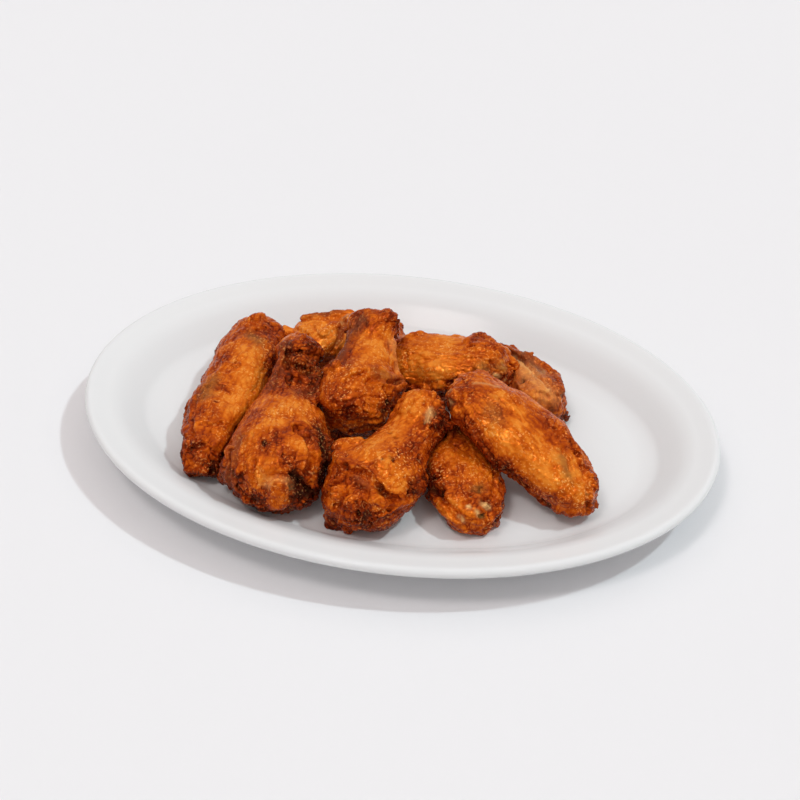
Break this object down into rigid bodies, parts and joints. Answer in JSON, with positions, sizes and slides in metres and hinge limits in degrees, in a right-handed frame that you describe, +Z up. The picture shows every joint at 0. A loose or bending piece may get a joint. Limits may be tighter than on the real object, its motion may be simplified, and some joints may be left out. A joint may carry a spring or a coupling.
{
  "type": "chicken wings serving",
  "caption": "Heap of fried chicken drumettes and flats with crisp browned skin, served on a glossy white oval platter with a rolled edge.",
  "frame": {"origin": "on the table under the middle of the platter", "axes": "+X along the platter's length, +Y across it towards the back, +Z up"},
  "size_m": [0.27, 0.186, 0.0508],
  "materials": {
    "glazed_white": "gloss",
    "fried_skin": "satin"
  },
  "bodies": {
    "root": {"platter": "glazed_white", "flat_right_front": "fried_skin", "drumette_left_front": "fried_skin", "drumette_front": "fried_skin", "drumette_middle": "fried_skin", "flat_front": "fried_skin", "flat_back": "fried_skin", "flat_left": "fried_skin", "flat_back_left": "fried_skin", "drumette_back_right": "fried_skin"}
  },
  "joints": []
}
